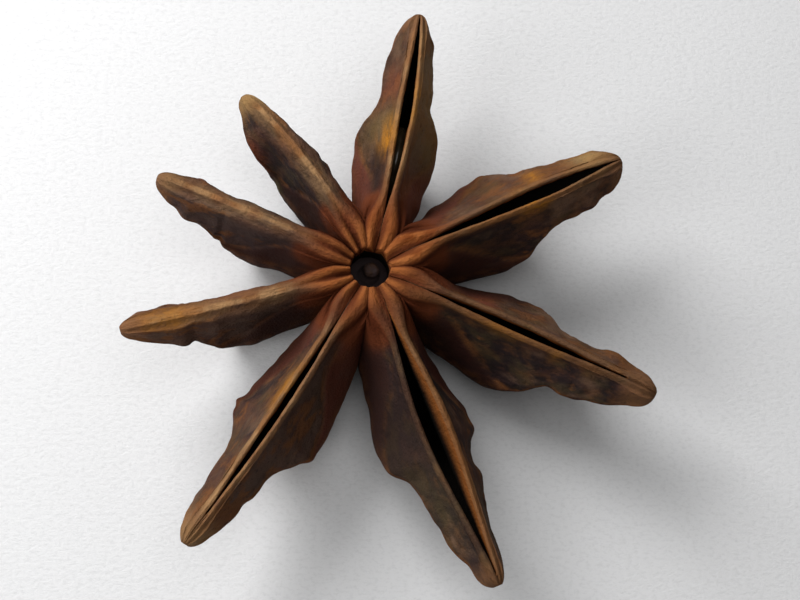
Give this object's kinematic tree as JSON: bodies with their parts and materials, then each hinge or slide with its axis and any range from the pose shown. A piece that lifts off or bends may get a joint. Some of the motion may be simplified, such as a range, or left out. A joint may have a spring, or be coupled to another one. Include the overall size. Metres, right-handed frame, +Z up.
{
  "type": "star anise pod",
  "caption": "Dried star-shaped spice fruit lying open side up, with split boat-shaped carpels round a short column and a seed showing in a slit.",
  "frame": {"origin": "centre of the flat stalk scar on the underside, on the resting plane", "axes": "+Z up along the fruit's axis, with the open sutures on top; X and Y in the resting plane, with a long open carpel pointing 25 degrees counter-clockwise from +X"},
  "size_m": [0.0321, 0.0354, 0.0085],
  "materials": {
    "husk": "matt, wrinkled, dark red-brown with paler orange-brown lips",
    "seed": "smooth and glossy brown"
  },
  "bodies": {
    "root": {"pod": "husk", "seed": "seed"}
  },
  "joints": []
}
